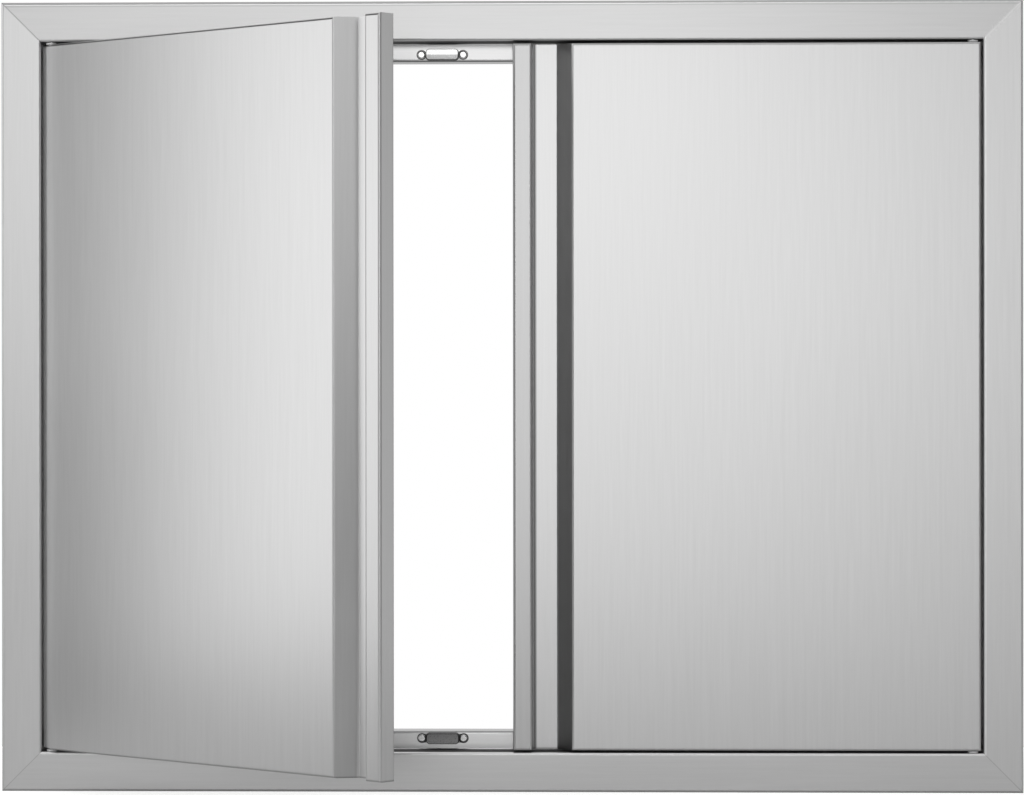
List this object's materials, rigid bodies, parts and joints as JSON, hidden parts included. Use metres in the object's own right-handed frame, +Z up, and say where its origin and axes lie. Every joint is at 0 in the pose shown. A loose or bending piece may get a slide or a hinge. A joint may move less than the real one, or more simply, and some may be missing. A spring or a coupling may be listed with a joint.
{
  "type": "outdoor kitchen access door",
  "caption": "Double access door in a flanged stainless trim frame, each leaf with a full-height finger channel and hidden end pivots, held shut by magnetic catches.",
  "frame": {"origin": "centre of the trim, in the plane of the island wall that the trim's outer returns rest on", "axes": "+X right as seen from in front, +Y back into the island, +Z up"},
  "size_m": [0.7874, 0.269, 0.6096],
  "materials": {
    "frame_steel": "brushed along each rail",
    "door_steel": "brushed upright, fine grain",
    "liner_steel": "plain cold-rolled, faint upright grain",
    "plated_steel": "zinc plated",
    "bright_fastener": "bright stainless",
    "catch_grey": "satin",
    "magnet": "dark ferrite, matt",
    "white_nylon": "white nylon"
  },
  "bodies": {
    "frame": {"frame_top_rail": "frame_steel", "frame_bottom_rail": "frame_steel", "frame_right_rail": "frame_steel", "frame_left_rail": "frame_steel", "pivot_pins": "bright_fastener", "catch_case_upper_right": "catch_grey", "catch_magnet_upper_right": "magnet", "catch_poles_upper_right": "plated_steel", "catch_case_upper_left": "catch_grey", "catch_magnet_upper_left": "magnet", "catch_poles_upper_left": "plated_steel", "catch_case_lower_right": "catch_grey", "catch_magnet_lower_right": "magnet", "catch_poles_lower_right": "plated_steel", "catch_case_lower_left": "catch_grey", "catch_magnet_lower_left": "magnet", "catch_poles_lower_left": "plated_steel", "catch_screws": "bright_fastener"},
    "left_door": {"left_door_skin": "door_steel", "left_door_liner": "liner_steel", "left_door_liner_rivets": "bright_fastener", "left_door_upper_pivot_plate": "plated_steel", "left_door_upper_pivot_bush": "white_nylon", "left_door_upper_strike_plate": "plated_steel", "left_door_lower_pivot_plate": "plated_steel", "left_door_lower_pivot_bush": "white_nylon", "left_door_lower_strike_plate": "plated_steel", "left_door_strike_rivets": "bright_fastener"},
    "right_door": {"right_door_skin": "door_steel", "right_door_liner": "liner_steel", "right_door_liner_rivets": "bright_fastener", "right_door_upper_pivot_plate": "plated_steel", "right_door_upper_pivot_bush": "white_nylon", "right_door_upper_strike_plate": "plated_steel", "right_door_lower_pivot_plate": "plated_steel", "right_door_lower_pivot_bush": "white_nylon", "right_door_lower_strike_plate": "plated_steel", "right_door_strike_rivets": "bright_fastener"}
  },
  "joints": [
    {"name": "left_door_hinge", "type": "hinge", "parent": "frame", "child": "left_door", "pos_m": [-0.3554, -0.0081, 0], "axis": [0, 0, -1], "range_deg": [-39.8, 65.2]},
    {"name": "right_door_hinge", "type": "hinge", "parent": "frame", "child": "right_door", "pos_m": [0.3554, -0.0081, 0], "axis": [0, 0, 1], "range_deg": [0, 105]}
  ]
}
